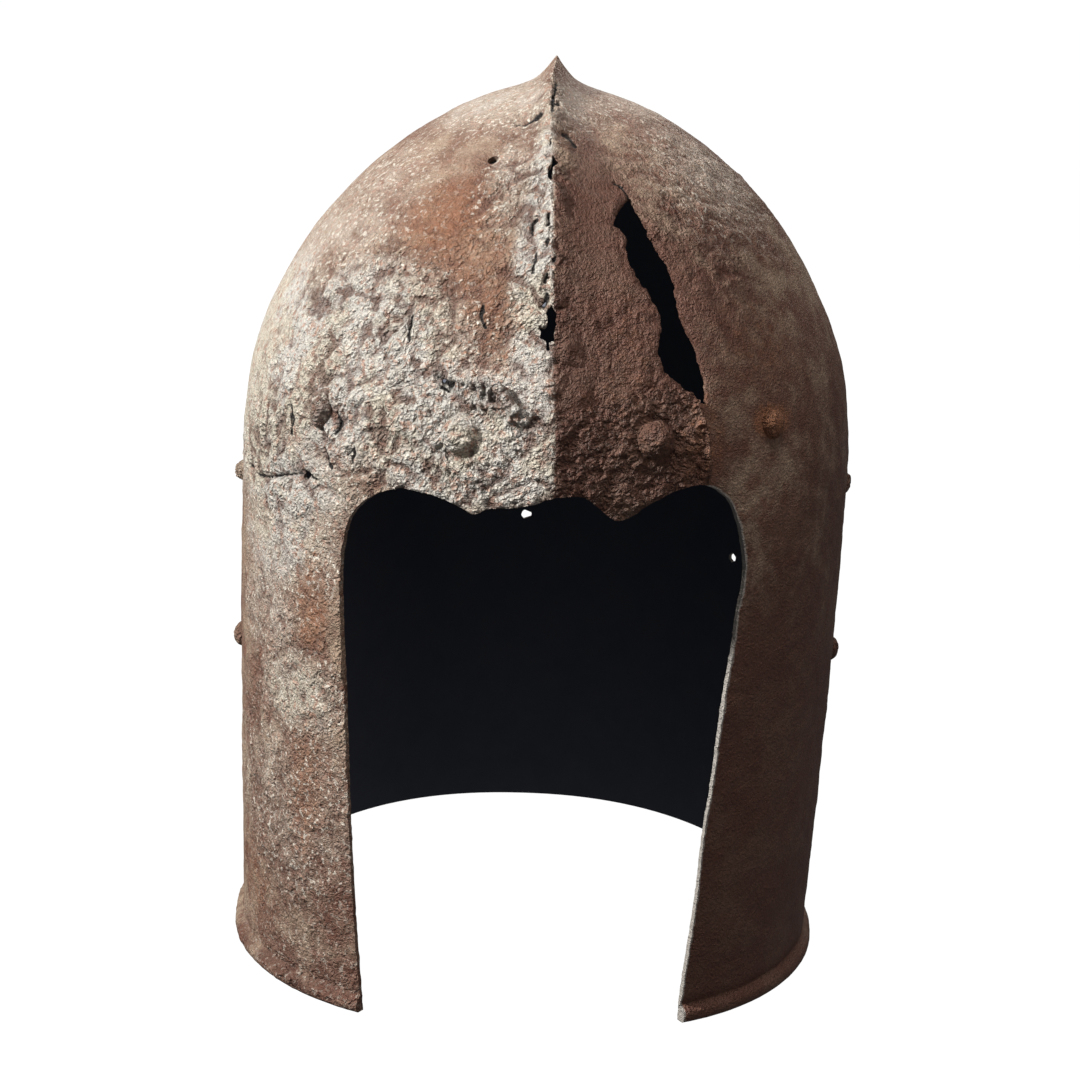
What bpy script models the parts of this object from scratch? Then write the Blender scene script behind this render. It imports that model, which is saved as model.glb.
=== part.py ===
"""A barbute: an open-faced iron helmet, excavated and rusty, resting on its rim.

The skull is one hammered shell with a keel over the crown, a turned rim and a
face opening. A brow plate is riveted over the forehead, and more rivets sit at
the temples and sides. The face looks along -Y, and the rim stands on Z = 0.
"""

import math

import bmesh
import bpy
from mathutils import Matrix, Vector

# Driving sizes of the skull, in metres
DOME_HEIGHT = 0.2926  # from the rim plane to the top of the rounded skull
HALF_WIDTH = 0.1028  # middle plane to the side wall, at its widest
FRONT_DEPTH = 0.1180  # line of the ears forward to the forehead, at its fullest
BACK_DEPTH = 0.1345  # line of the ears back to the nape
WALL = 0.0020
CROWN_SETBACK = 0.0100  # how far the top of the skull lies behind the line of the ears
PLAN_POWER = 2.15  # 2 would make each level an ellipse, more makes it squarer
SWAY = 0.0023  # how far the hammered skull strays sideways from the middle plane

# The keel that is raised along the middle plane
KEEL_HEIGHT = 0.0096  # at the crown, where it is highest
KEEL_SPREAD = 0.0140
KEEL_FALL = 1.15  # how sharply its flanks fall away from the ridge

# The turned edge along the foot of the skull
RIM_HEIGHT = 0.0052
RIM_PROUD = 0.0020

# The face opening, and how far the middle of the face lies off the middle plane
FACE_SHIFT = -0.0010
OPENING_TOP = 0.1782  # floor to the crown of the eye arches
OPENING_HALF = 0.0634  # middle of the face to the opening's side, at its widest
CUSP_DROP = 0.0092  # how far the two brow cusps hang below the eye arches

# The brow plate
PLATE_THICKNESS = 0.0015
PLATE_HALF = 0.0450
PLATE_RISE = 0.0300  # top of the eye arches to the top of the plate

# The gash over the right eye
GASH_ACROSS = 0.0467  # middle of the face to its lower tip
GASH_RISE = 0.0236  # top of the eye arches to its lower tip
GASH_LENGTH = 0.0638
GASH_HALF = 0.0080
GASH_LEAN = 21.2  # degrees from upright, its foot towards the right

# Rivets: a lip is how far a head or tail reaches past the shank
SHANK_RADIUS = 0.0021
TAIL_LIP = 0.0015
TAIL_HEIGHT = 0.0012
BROW_LIP = 0.0029
TEMPLE_LIP = 0.0021
SIDE_LIP = 0.0019
STRAP_LIP = 0.0021
HEAD_RISE = 0.52  # height of a domed head as a share of its radius
BROW_RIVET_RISE = 0.0135  # above the eye arches
TEMPLE_RIVET_RISE = 0.0161  # above the eye arches
SIDE_RIVET_DROP = 0.0160  # below the eye arches
STRAP_RIVET_LEVEL = 0.1045
LINING_HOLE_LEVEL = 0.1180  # the empty rivet holes in the nape

# Small losses in the skull
CROWN_HOLE = 0.0019
SIDE_HOLE = 0.0017
PIN_HOLE = 0.0011
CROWN_HOLE_DROP = 0.0232  # below the top of the skull
SIDE_HOLE_DROP = 0.0054  # below the eye arches
KEEL_HOLE_RISE = 0.0460  # above the eye arches
KEEL_HOLE_LENGTH = 0.0150
KEEL_HOLE_WIDTH = 0.0060
KEEL_SLOT_RISE = 0.0918  # above the eye arches
KEEL_SLOT_LENGTH = 0.0072
KEEL_SLOT_WIDTH = 0.0032

CLEARANCE = 0.0003  # between pieces that lie on or in each other
SEAT = 0.0006  # under a rivet's flat head and tail, which bear on a curved wall
CUT_REACH = 0.060  # how far a cutter stands clear of the surface that it cuts

# Each level of the skull, from the rim to the crown:
# height of DOME_HEIGHT, half width of HALF_WIDTH, front of FRONT_DEPTH, back of BACK_DEPTH,
# how far its middle is set back, of CROWN_SETBACK, and how far it strays right, of SWAY
LEVELS = (
    (0.000, 0.975, 0.905, 1.052, 0.00, -1.00),
    (0.025, 0.969, 0.912, 1.044, 0.00, -0.95),
    (0.085, 0.973, 0.928, 1.033, 0.00, -0.83),
    (0.185, 0.982, 0.953, 1.015, 0.00, -0.63),
    (0.290, 0.990, 0.975, 1.004, 0.00, -0.42),
    (0.390, 0.996, 0.992, 1.000, 0.00, -0.24),
    (0.480, 0.999, 1.000, 1.000, 0.00, -0.07),
    (0.540, 1.000, 1.000, 0.998, 0.00, 0.00),
    (0.590, 1.000, 0.996, 0.994, 0.00, 0.07),
    (0.640, 0.992, 0.985, 0.983, 0.05, 0.12),
    (0.690, 0.971, 0.963, 0.961, 0.12, 0.13),
    (0.735, 0.931, 0.926, 0.928, 0.20, 0.14),
    (0.780, 0.873, 0.873, 0.879, 0.30, 0.15),
    (0.825, 0.798, 0.804, 0.811, 0.42, 0.20),
    (0.865, 0.712, 0.724, 0.730, 0.54, 0.30),
    (0.900, 0.617, 0.633, 0.640, 0.66, 0.42),
    (0.930, 0.514, 0.533, 0.540, 0.78, 0.45),
    (0.955, 0.409, 0.427, 0.433, 0.88, 0.35),
    (0.974, 0.309, 0.326, 0.331, 0.94, 0.24),
    (0.987, 0.216, 0.230, 0.233, 0.98, 0.14),
    (0.995, 0.131, 0.140, 0.143, 1.00, 0.06),
    (0.9985, 0.067, 0.073, 0.074, 1.00, 0.02),
    (0.9998, 0.027, 0.030, 0.030, 1.00, 0.00),
)

# How the keel changes with height: height of DOME_HEIGHT, ridge at the front and
# at the back of KEEL_HEIGHT, and width of KEEL_SPREAD
KEEL_LEVELS = (
    (0.20, 0.60, 0.00, 1.00),
    (0.45, 0.60, 0.16, 1.00),
    (0.60, 0.64, 0.36, 1.00),
    (0.80, 0.72, 0.60, 0.95),
    (0.92, 0.80, 0.76, 0.72),
    (0.98, 1.00, 1.00, 0.48),
    (1.00, 1.00, 1.00, 0.34),
)

# The rim's cross section: height of RIM_HEIGHT, reach of RIM_PROUD
RIM_SECTION = ((0.00, 0.55), (0.25, 1.00), (0.72, 1.00), (1.00, 0.20), (1.30, 0.00))

# Columns of the skull's mesh, as bearings in degrees from the face to one side
BEARINGS = (0, 2, 4.5, 8, 12, 17, 23, 30, 38, 47, 57, 68, 79, 90)

# The opening's upper edge, from the left side to the right:
# across as a share of OPENING_HALF, drop below OPENING_TOP as a share of CUSP_DROP
OPENING_EDGE = (
    (-0.985, 5.60),
    (-0.992, 4.60),
    (-0.993, 3.20),
    (-0.965, 1.95),
    (-0.91, 1.25),
    (-0.82, 0.72),
    (-0.71, 0.45),
    (-0.60, 0.45),
    (-0.50, 0.56),
    (-0.40, 0.82),
    (-0.335, 1.00),
    (-0.28, 0.80),
    (-0.17, 0.70),
    (-0.07, 0.54),
    (0.01, 0.30),
    (0.10, 0.25),
    (0.17, 0.30),
    (0.25, 0.72),
    (0.315, 1.04),
    (0.38, 0.97),
    (0.46, 0.62),
    (0.55, 0.28),
    (0.65, 0.05),
    (0.72, 0.00),
    (0.80, 0.17),
    (0.88, 0.60),
    (0.93, 1.30),
    (0.965, 2.20),
    (0.985, 3.20),
    (0.957, 4.60),
    (0.940, 5.90),
)

# The opening's sides below that: height of OPENING_TOP, across of OPENING_HALF
LEFT_SIDE = ((0.60, -0.966), (0.42, -0.943), (0.20, -0.905), (0.00, -0.858))
RIGHT_SIDE = (
    (0.60, 0.907),
    (0.45, 0.873),
    (0.36, 0.845),
    (0.22, 0.820),
    (0.06, 0.775),
    (0.00, 0.770),
)

# The gash's two torn edges: down along GASH_LENGTH, out across GASH_HALF
GASH_LEFT = (
    (0.02, -0.45),
    (0.06, -0.85),
    (0.09, -1.03),
    (0.13, -0.75),
    (0.17, -0.70),
    (0.21, -0.88),
    (0.28, -0.90),
    (0.36, -0.77),
    (0.43, -0.58),
    (0.48, -0.59),
    (0.54, -0.45),
    (0.62, -0.71),
    (0.67, -0.94),
    (0.77, -1.03),
    (0.84, -0.75),
    (0.92, -0.39),
)
GASH_RIGHT = (
    (0.91, 0.36),
    (0.77, 0.44),
    (0.70, 0.42),
    (0.62, 0.28),
    (0.51, 0.39),
    (0.43, 0.51),
    (0.36, 0.50),
    (0.30, 0.41),
    (0.22, 0.26),
    (0.13, 0.20),
    (0.05, 0.06),
)

# The brow plate's torn outline above the opening: across of PLATE_HALF, and
# height above OPENING_TOP as a share of PLATE_RISE
PLATE_EDGE = (
    (-0.93, -0.60),
    (-0.91, 0.00),
    (-0.88, 0.40),
    (-0.86, 0.80),
    (-0.71, 0.95),
    (-0.56, 0.92),
    (-0.48, 0.97),
    (-0.38, 0.94),
    (-0.21, 0.71),
    (0.01, 0.74),
    (0.19, 0.73),
    (0.32, 0.80),
    (0.59, 0.90),
    (0.78, 0.98),
    (0.93, 0.88),
    (1.00, 0.64),
    (1.05, 0.34),
    (1.07, 0.00),
    (1.07, -0.60),
)

# How far the plate's mesh reaches past its outline before that is cut
PLATE_MARGIN = 1.25

# The brow rivets, across the plate as shares of PLATE_HALF
BROW_RIVETS = (("brow_rivet_left", -0.58), ("brow_rivet_right", 0.69))

# The other rivets: name, bearing in degrees from the face, level, lip of the head
SIDE_RIVETS = (
    ("temple_rivet_left", -42.9, OPENING_TOP + TEMPLE_RIVET_RISE, TEMPLE_LIP),
    ("temple_rivet_right", 40.5, OPENING_TOP + TEMPLE_RIVET_RISE, TEMPLE_LIP),
    ("side_rivet_left", -82.0, OPENING_TOP - SIDE_RIVET_DROP, SIDE_LIP),
    ("side_rivet_right", 86.0, OPENING_TOP - SIDE_RIVET_DROP, SIDE_LIP),
    ("strap_rivet_left", -83.5, STRAP_RIVET_LEVEL, STRAP_LIP),
    ("strap_rivet_right", 84.5, STRAP_RIVET_LEVEL, STRAP_LIP),
)

# Holes right through the skull: name, bearing in degrees, level, radius
LOSSES = (
    ("crown_hole", -20.5, DOME_HEIGHT - CROWN_HOLE_DROP, CROWN_HOLE),
    ("side_hole", -46.5, OPENING_TOP - SIDE_HOLE_DROP, SIDE_HOLE),
    ("lining_hole_middle", 179.0, LINING_HOLE_LEVEL, SHANK_RADIUS),
    ("lining_hole_right", 129.0, LINING_HOLE_LEVEL, SHANK_RADIUS),
    ("nape_pin_hole", 151.0, LINING_HOLE_LEVEL, PIN_HOLE),
)

# The ragged hole and the slot beside the ridge: shares of their widths and lengths
KEEL_HOLE_SHAPE = (
    (-0.10, 0.48),
    (-0.27, 0.39),
    (-0.36, 0.26),
    (-0.22, 0.17),
    (-0.36, 0.01),
    (-0.75, 0.00),
    (-0.60, -0.05),
    (-0.66, -0.17),
    (-0.36, -0.25),
    (-0.24, -0.48),
    (-0.12, -0.25),
    (0.10, -0.21),
    (0.09, 0.03),
    (0.24, 0.08),
    (0.16, 0.16),
    (0.12, 0.32),
)
KEEL_SLOT_SHAPE = (
    (-0.31, 0.50),
    (-0.40, 0.30),
    (-0.41, 0.03),
    (-0.66, -0.08),
    (-0.78, -0.45),
    (-0.44, -0.50),
    (-0.19, -0.15),
    (0.11, -0.01),
    (0.19, 0.16),
)

ROUND_SIDES = 14
SHARP_EDGE = 35  # degrees between two faces that are shaded apart

# A rivet's head, from its brim to its crown: radius of the head, height of its rise
HEAD_SECTION = ((1.00, 0.00), (0.93, 0.40), (0.72, 0.75), (0.40, 0.95), (0.00, 1.00))
TAIL_CHAMFER = 0.8  # the tail's end face, as a share of its radius
LEAST_ROW = 1.5  # the first level above the rim, as a share of the rim's own height
PLATE_SPARE = 9  # degrees that the plate's mesh reaches past its outline

# Colours as red, green, blue, with roughness and metallic value
IRON = ((0.21, 0.145, 0.105), 0.62, 0.45)
PLATE_IRON = ((0.27, 0.20, 0.155), 0.60, 0.45)
RIVET_IRON = ((0.24, 0.115, 0.06), 0.60, 0.40)


def clear_scene():
    for old in list(bpy.data.objects):
        bpy.data.objects.remove(old)


def between(rows, height):
    """The columns of a table at this height, read between its rows."""
    if height <= rows[0][0]:
        return rows[0][1:]
    for low, high in zip(rows, rows[1:]):
        if height <= high[0]:
            part = (height - low[0]) / (high[0] - low[0])
            return tuple(a + (b - a) * part for a, b in zip(low[1:], high[1:]))
    return rows[-1][1:]


def stray(level):
    """How far to the right of the middle plane the skull's own middle lies at this height."""
    return between(LEVELS, level / DOME_HEIGHT)[-1] * SWAY


def rounded(bearing, level):
    """A point of the plain skull, without its keel, at a bearing in degrees and a height."""
    width, front, back, setback, sway = between(LEVELS, level / DOME_HEIGHT)
    turn = math.radians(bearing)
    across = abs(math.sin(turn)) ** (2 / PLAN_POWER)
    along = abs(math.cos(turn)) ** (2 / PLAN_POWER)
    x = math.copysign(across, math.sin(turn)) * width * HALF_WIDTH
    y = -along * front * FRONT_DEPTH if math.cos(turn) > 0 else along * back * BACK_DEPTH
    return Vector((x + sway * SWAY, y + setback * CROWN_SETBACK, level))


def facing(bearing, level):
    """The direction straight out of the plain skull."""
    turn = 1.0
    rise = 0.002
    top = min(level + rise, DOME_HEIGHT * LEVELS[-1][0])
    round_it = rounded(bearing + turn, level) - rounded(bearing - turn, level)
    up_it = rounded(bearing, top) - rounded(bearing, max(level - rise, 0))
    return round_it.cross(up_it).normalized()


def keel(point, bearing, level):
    """How far the keel lifts the skull at this point."""
    front, back, spread = between(KEEL_LEVELS, level / DOME_HEIGHT)
    height = front if abs(bearing) <= 90 else back
    away = abs(point.x - stray(level)) / (spread * KEEL_SPREAD)
    return height * KEEL_HEIGHT * math.exp(-(away**KEEL_FALL))


def rim(level):
    """How far the turned edge stands out at this height."""
    rows = tuple((share * RIM_HEIGHT, reach) for share, reach in RIM_SECTION)
    return between(rows, level)[0] * RIM_PROUD


def on_skull(bearing, level, out=0.0):
    """A point at a distance out of the skull's outer face, and the way that face looks."""
    point = rounded(bearing, level)
    away = facing(bearing, level)
    return point + away * (keel(point, bearing, level) + out), away


def bearing_of(across, level):
    """The bearing of a point of the front that lies this far to the right."""
    off = across - stray(level)
    share = abs(off) / (between(LEVELS, level / DOME_HEIGHT)[0] * HALF_WIDTH)
    return math.copysign(math.degrees(math.asin(share ** (PLAN_POWER / 2))), off)


def skull_middle():
    """How far the middle of the whole helmet lies behind the line of the ears."""
    out = CLEARANCE + PLATE_THICKNESS
    front = min(on_skull(0, level, out)[0].y for level in plate_rows()[1:-1])
    back = on_skull(180, RIM_HEIGHT / 2, RIM_PROUD)[0].y
    return (front + back) / 2


def material(name, look):
    made = bpy.data.materials.new(name)
    made.use_nodes = True
    shader = made.node_tree.nodes["Principled BSDF"]
    colour, roughness, metallic = look
    shader.inputs["Base Color"].default_value = (*colour, 1)
    shader.inputs["Roughness"].default_value = roughness
    shader.inputs["Metallic"].default_value = metallic
    return made


def add_object(name, bm, finish=None):
    bmesh.ops.recalc_face_normals(bm, faces=bm.faces)
    mesh = bpy.data.meshes.new(name)
    bm.to_mesh(mesh)
    bm.free()
    made = bpy.data.objects.new(name, mesh)
    bpy.context.scene.collection.objects.link(made)
    if finish:
        mesh.materials.append(finish)
    return made


def cutter(name, bm):
    """A helper shape that only cuts."""
    made = add_object(name, bm)
    made.hide_render = True
    made.display_type = "WIRE"
    return made


def cut(target, tool, operation="DIFFERENCE"):
    step = target.modifiers.new(tool.name, "BOOLEAN")
    step.operation = operation
    step.solver = "EXACT"
    step.object = tool


def join_rings(bm, low, high, closed):
    """Triangles between two rows of points, with every diagonal the same way."""
    count = len(low) if closed else len(low) - 1
    for i in range(count):
        j = (i + 1) % len(low)
        bm.faces.new((low[i], low[j], high[j]))
        bm.faces.new((low[i], high[j], high[i]))


def all_bearings():
    """The mesh columns right round the skull."""
    quarter = list(BEARINGS)
    back = [180 - turn for turn in reversed(quarter[:-1])]
    side = quarter + back
    return side + [-turn for turn in reversed(side[1:-1])]


def skull_rows():
    """The mesh rows: those of the rim, then the levels of the skull."""
    rows = [share * RIM_HEIGHT for share, _ in RIM_SECTION]
    levels = [row[0] * DOME_HEIGHT for row in LEVELS]
    return rows + [level for level in levels if level > rows[-1] * LEAST_ROW]


def skull_face(bm, offset, turned):
    """One face of the skull's shell, as rows of points from the rim to the apex."""
    rows = []
    for level in skull_rows():
        row = []
        for bearing in all_bearings():
            out = offset + (rim(level) if turned else 0.0)
            point = on_skull(bearing, level, out)[0]
            point.z = 0.0 if level == 0 else point.z
            row.append(bm.verts.new(point))
        rows.append(row)
    for low, high in zip(rows, rows[1:]):
        join_rings(bm, low, high, closed=True)
    crown = bm.verts.new((0, CROWN_SETBACK, DOME_HEIGHT + KEEL_HEIGHT + offset))
    for i, vert in enumerate(rows[-1]):
        bm.faces.new((vert, rows[-1][(i + 1) % len(rows[-1])], crown))
    return rows


def make_shell(finish):
    bm = bmesh.new()
    outer = skull_face(bm, 0.0, turned=True)
    inner = skull_face(bm, -WALL, turned=False)
    join_rings(bm, inner[0], outer[0], closed=True)
    return add_object("skull", bm, finish)


def plate_rows():
    """The skull's rows that the brow plate covers, with one more below and above."""
    rows = skull_rows()
    low = OPENING_TOP - CUSP_DROP * PLATE_MARGIN
    high = OPENING_TOP + PLATE_RISE
    first = max(i for i, level in enumerate(rows) if level < low)
    last = min((i for i, level in enumerate(rows) if level > high), default=len(rows) - 1)
    return rows[first : last + 1]


def plate_face(bm, offset):
    """One face of the brow plate, on the same rows and columns as the skull."""
    edge = max(abs(a) for a, _ in PLATE_EDGE) * PLATE_HALF * PLATE_MARGIN
    reach = bearing_of(min(edge, HALF_WIDTH / PLATE_MARGIN), OPENING_TOP) + PLATE_SPARE
    bearings = sorted(turn for turn in all_bearings() if abs(turn) <= reach)
    rows = []
    for level in plate_rows():
        rows.append([bm.verts.new(on_skull(turn, level, offset)[0]) for turn in bearings])
    for below, above in zip(rows, rows[1:]):
        join_rings(bm, below, above, closed=False)
    return rows


def border(rows):
    """The points round the edge of a patch, in order."""
    sides = [row[-1] for row in rows[1:-1]]
    others = [row[0] for row in rows[1:-1]]
    return rows[0] + sides + rows[-1][::-1] + others[::-1]


def make_plate(finish):
    """The brow plate before its outline is cut."""
    bm = bmesh.new()
    lower = plate_face(bm, CLEARANCE)
    upper = plate_face(bm, CLEARANCE + PLATE_THICKNESS)
    join_rings(bm, border(lower), border(upper), closed=True)
    return add_object("brow_plate", bm, finish)


def prism(name, outline, near, far):
    """A cutter with this outline across the face, reaching along Y."""
    bm = bmesh.new()
    front = [bm.verts.new((x + FACE_SHIFT, near, z)) for x, z in outline]
    back = [bm.verts.new((x + FACE_SHIFT, far, z)) for x, z in outline]
    bm.faces.new(front)
    bm.faces.new(back[::-1])
    for i in range(len(outline)):
        j = (i + 1) % len(outline)
        bm.faces.new((front[i], back[i], back[j], front[j]))
    return cutter(name, bm)


def opening_outline():
    edge = [(a * OPENING_HALF, OPENING_TOP - drop * CUSP_DROP) for a, drop in OPENING_EDGE]
    left = [(a * OPENING_HALF, share * OPENING_TOP) for share, a in LEFT_SIDE]
    right = [(a * OPENING_HALF, share * OPENING_TOP) for share, a in RIGHT_SIDE]
    foot = -CUT_REACH
    return [(left[-1][0], foot)] + left[::-1] + edge + right + [(right[-1][0], foot)]


def gash_outline():
    lean = math.radians(GASH_LEAN)
    down = Vector((math.sin(lean), -math.cos(lean)))
    start = Vector((GASH_ACROSS, OPENING_TOP + GASH_RISE)) - down * GASH_LENGTH
    out = Vector((math.cos(lean), math.sin(lean)))
    places = ((0.0, 0.0), *GASH_LEFT, (1.0, 0.0), *GASH_RIGHT)
    return [tuple(start + down * (a * GASH_LENGTH) + out * (b * GASH_HALF)) for a, b in places]


def plate_outline():
    return [(a * PLATE_HALF, OPENING_TOP + b * PLATE_RISE) for a, b in PLATE_EDGE]


def ragged_outline(shape, rise, width, length):
    """A ragged hole whose middle lies this far above the eye arches."""
    return [(a * width, OPENING_TOP + rise + b * length) for a, b in shape]


def standing(point, away):
    """The frame of a round piece that stands on the skull, with its Z axis straight out."""
    return Matrix.Translation(point) @ away.to_track_quat("Z", "Y").to_matrix().to_4x4()


def drill(name, bearing, level, radius):
    """A round cutter through the wall."""
    point, away = on_skull(bearing, level)
    bm = bmesh.new()
    bmesh.ops.create_cone(
        bm,
        cap_ends=True,
        segments=ROUND_SIDES,
        radius1=radius,
        radius2=radius,
        depth=CUT_REACH / 2,
        matrix=standing(point, away),
    )
    return cutter(name, bm)


def rivet_hole(name, bearing, level):
    return drill(f"{name}_hole", bearing, level, SHANK_RADIUS + CLEARANCE)


def turned(bm, profile, frame):
    """A closed round body from a profile of radius and height, both ends on its axis."""
    ends = [bm.verts.new(frame @ Vector((0, 0, profile[k][1]))) for k in (0, -1)]
    rings = []
    for radius, height in profile[1:-1]:
        ring = []
        for i in range(ROUND_SIDES):
            turn = 2 * math.pi * i / ROUND_SIDES
            at = Vector((radius * math.cos(turn), radius * math.sin(turn), height))
            ring.append(bm.verts.new(frame @ at))
        rings.append(ring)
    for low, high in zip(rings, rings[1:]):
        join_rings(bm, low, high, closed=True)
    for ring, end in ((rings[0], ends[0]), (rings[-1], ends[1])):
        for i in range(ROUND_SIDES):
            bm.faces.new((ring[i], ring[(i + 1) % ROUND_SIDES], end))


def make_rivet(name, bearing, level, lip, grip, finish):
    """A rivet: a clenched tail inside, a shank through what it grips, a domed head outside."""
    inside = -WALL - SEAT
    seat = grip + SEAT
    tail = SHANK_RADIUS + TAIL_LIP
    head = SHANK_RADIUS + lip
    rise = head * HEAD_RISE
    profile = [
        (0.0, inside - TAIL_HEIGHT),
        (tail * TAIL_CHAMFER, inside - TAIL_HEIGHT),
        (tail, inside - TAIL_HEIGHT / 2),
        (tail, inside),
        (SHANK_RADIUS, inside),
        (SHANK_RADIUS, seat),
    ]
    profile += [(head * a, seat + rise * b) for a, b in HEAD_SECTION]
    bm = bmesh.new()
    turned(bm, profile, standing(*on_skull(bearing, level)))
    return add_object(name, bm, finish)


def smooth(part):
    part.data.shade_smooth()
    part.data.set_sharp_from_angle(angle=math.radians(SHARP_EDGE))


def main():
    clear_scene()
    iron = material("rusted_iron", IRON)
    plate_iron = material("scaled_iron", PLATE_IRON)
    rivet_iron = material("rivet_iron", RIVET_IRON)
    skull = make_shell(iron)
    plate = make_plate(plate_iron)

    near = -FRONT_DEPTH - CUT_REACH
    opening = prism("opening_cutter", opening_outline(), near, 0.0)
    gash = prism("gash_cutter", gash_outline(), near, 0.0)
    hole = ragged_outline(KEEL_HOLE_SHAPE, KEEL_HOLE_RISE, KEEL_HOLE_WIDTH, KEEL_HOLE_LENGTH)
    slot = ragged_outline(KEEL_SLOT_SHAPE, KEEL_SLOT_RISE, KEEL_SLOT_WIDTH, KEEL_SLOT_LENGTH)
    keel_hole = prism("keel_hole_cutter", hole, near, 0.0)
    keel_slot = prism("keel_slot_cutter", slot, near, 0.0)
    outline = prism("plate_cutter", plate_outline(), near, 0.0)
    for tool in (opening, gash, keel_hole, keel_slot):
        cut(skull, tool)
    cut(plate, outline, "INTERSECT")
    for tool in (opening, gash):
        cut(plate, tool)
    for name, bearing, level, radius in LOSSES:
        cut(skull, drill(name, bearing, level, radius))

    parts = [skull, plate]
    brow_level = OPENING_TOP + BROW_RIVET_RISE
    for name, share in BROW_RIVETS:
        bearing = bearing_of(FACE_SHIFT + share * PLATE_HALF, brow_level)
        hole = rivet_hole(name, bearing, brow_level)
        cut(skull, hole)
        cut(plate, hole)
        grip = CLEARANCE + PLATE_THICKNESS
        parts.append(make_rivet(name, bearing, brow_level, BROW_LIP, grip, rivet_iron))
    for name, bearing, level, lip in SIDE_RIVETS:
        cut(skull, rivet_hole(name, bearing, level))
        parts.append(make_rivet(name, bearing, level, lip, 0.0, rivet_iron))

    helmet = bpy.data.objects.new("helmet", None)
    helmet.location.y = -skull_middle()
    bpy.context.scene.collection.objects.link(helmet)
    for each in bpy.data.objects:
        if each is not helmet:
            each.parent = helmet
    for part in parts:
        smooth(part)


main()
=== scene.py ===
"""An excavated barbute in a plain studio: skull, brow plate and rivets, all corroded.

Lengths are in metres. The face looks along -Y, and the rim stands on Z = 0.
"""

import math

import bpy
import numpy as np
from mathutils import Matrix, Vector, noise


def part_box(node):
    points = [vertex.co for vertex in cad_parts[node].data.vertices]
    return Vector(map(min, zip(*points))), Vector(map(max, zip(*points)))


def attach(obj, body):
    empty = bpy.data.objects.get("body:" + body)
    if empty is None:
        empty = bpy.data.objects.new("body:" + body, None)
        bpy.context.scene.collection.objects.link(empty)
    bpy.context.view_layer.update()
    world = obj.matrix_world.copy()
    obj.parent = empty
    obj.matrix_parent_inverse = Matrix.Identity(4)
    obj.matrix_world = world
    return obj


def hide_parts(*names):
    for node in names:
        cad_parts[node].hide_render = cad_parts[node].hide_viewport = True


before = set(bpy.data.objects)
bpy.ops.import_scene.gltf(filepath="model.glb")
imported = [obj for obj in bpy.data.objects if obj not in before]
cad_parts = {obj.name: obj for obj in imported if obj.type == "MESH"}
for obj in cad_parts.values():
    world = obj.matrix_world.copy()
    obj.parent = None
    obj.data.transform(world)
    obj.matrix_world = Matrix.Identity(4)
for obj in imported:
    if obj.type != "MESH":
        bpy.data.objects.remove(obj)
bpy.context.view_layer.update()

MM = 0.001

# Driving sizes of the skull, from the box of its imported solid
SKULL_LOW, SKULL_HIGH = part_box("skull")
TALL = SKULL_HIGH.z
DEEP = SKULL_HIGH.y - SKULL_LOW.y
HALF_WIDTH = 0.9984 * SKULL_HIGH.x
DOME_HEIGHT = 0.96823 * TALL
KEEL_HEIGHT = TALL - DOME_HEIGHT
FRONT_DEPTH = 0.4425 * DEEP
BACK_DEPTH = 0.5044 * DEEP
EARS = -0.0334 * DEEP  # where the line of the ears crosses the middle plane
CROWN_SETBACK = 10.0 * MM
SWAY = 2.3 * MM
PLAN_POWER = 2.15
KEEL_SPREAD = 14.0 * MM
KEEL_FALL = 1.15
RIM_HEIGHT = 5.2 * MM
RIM_PROUD = 2.0 * MM
WALL = 2.0 * MM

# Driving sizes of the openings and of what is on the skull
FACE_SHIFT = -1.0 * MM
OPENING_TOP = 0.58968 * TALL
OPENING_HALF = 0.6167 * HALF_WIDTH
CUSP_DROP = 9.2 * MM
PLATE_GAP = 0.3 * MM
PLATE_THICKNESS = 1.5 * MM
PLATE_HALF = 45.0 * MM
PLATE_RISE = 30.0 * MM
GASH_FOOT = (46.7 * MM, OPENING_TOP + 23.6 * MM)
GASH_LENGTH = 63.8 * MM
GASH_HALF = 8.0 * MM
GASH_LEAN = math.radians(21.2)
KEEL_HOLE_RISE = 46.0 * MM
KEEL_HOLE_LENGTH = 15.0 * MM
KEEL_HOLE_WIDTH = 6.0 * MM
KEEL_SLOT_RISE = 91.8 * MM
KEEL_SLOT_LENGTH = 7.2 * MM
KEEL_SLOT_WIDTH = 3.2 * MM

# How finely the pieces are meshed
SKULL_ROW = 0.7 * MM  # between one row of the skull and the next
RIM_ROWS = 14  # finer rows, over the turned rim and just above it
RIM_ROW = 0.5 * MM
SKULL_TRIANGLES = 195000
PLATE_CELL = 0.38 * MM
RIVET_SIDES = 64
DEGREE_SPAN = 1.9 * MM  # what one degree of bearing covers on the front
SHARP_EDGE = math.radians(58)  # between two faces that are shaded apart

# How the surface is corroded
GASH_FRAY = 0.6 * MM  # how far torn edges stray from their outlines
OPENING_FRAY = 0.2 * MM
PLATE_FRAY = 0.9 * MM
SUNK = 0.3 * MM  # how far a piece that is rusted fast reaches into what carries it
SCAB_SIZE = 8.5 * MM
SCAB_HEIGHT = 2.4 * MM
FLAKE_SIZE = 5.5 * MM
FLAKE_HEIGHT = 0.24 * MM
CRUMB_SIZE = 3.4 * MM
GRAVEL_SIZE = 1.5 * MM
TOP_HEIGHT = 0.5 * MM  # the height of scabs that the materials read as 1
BUMP_HEIGHT = 2.3 * MM

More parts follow.
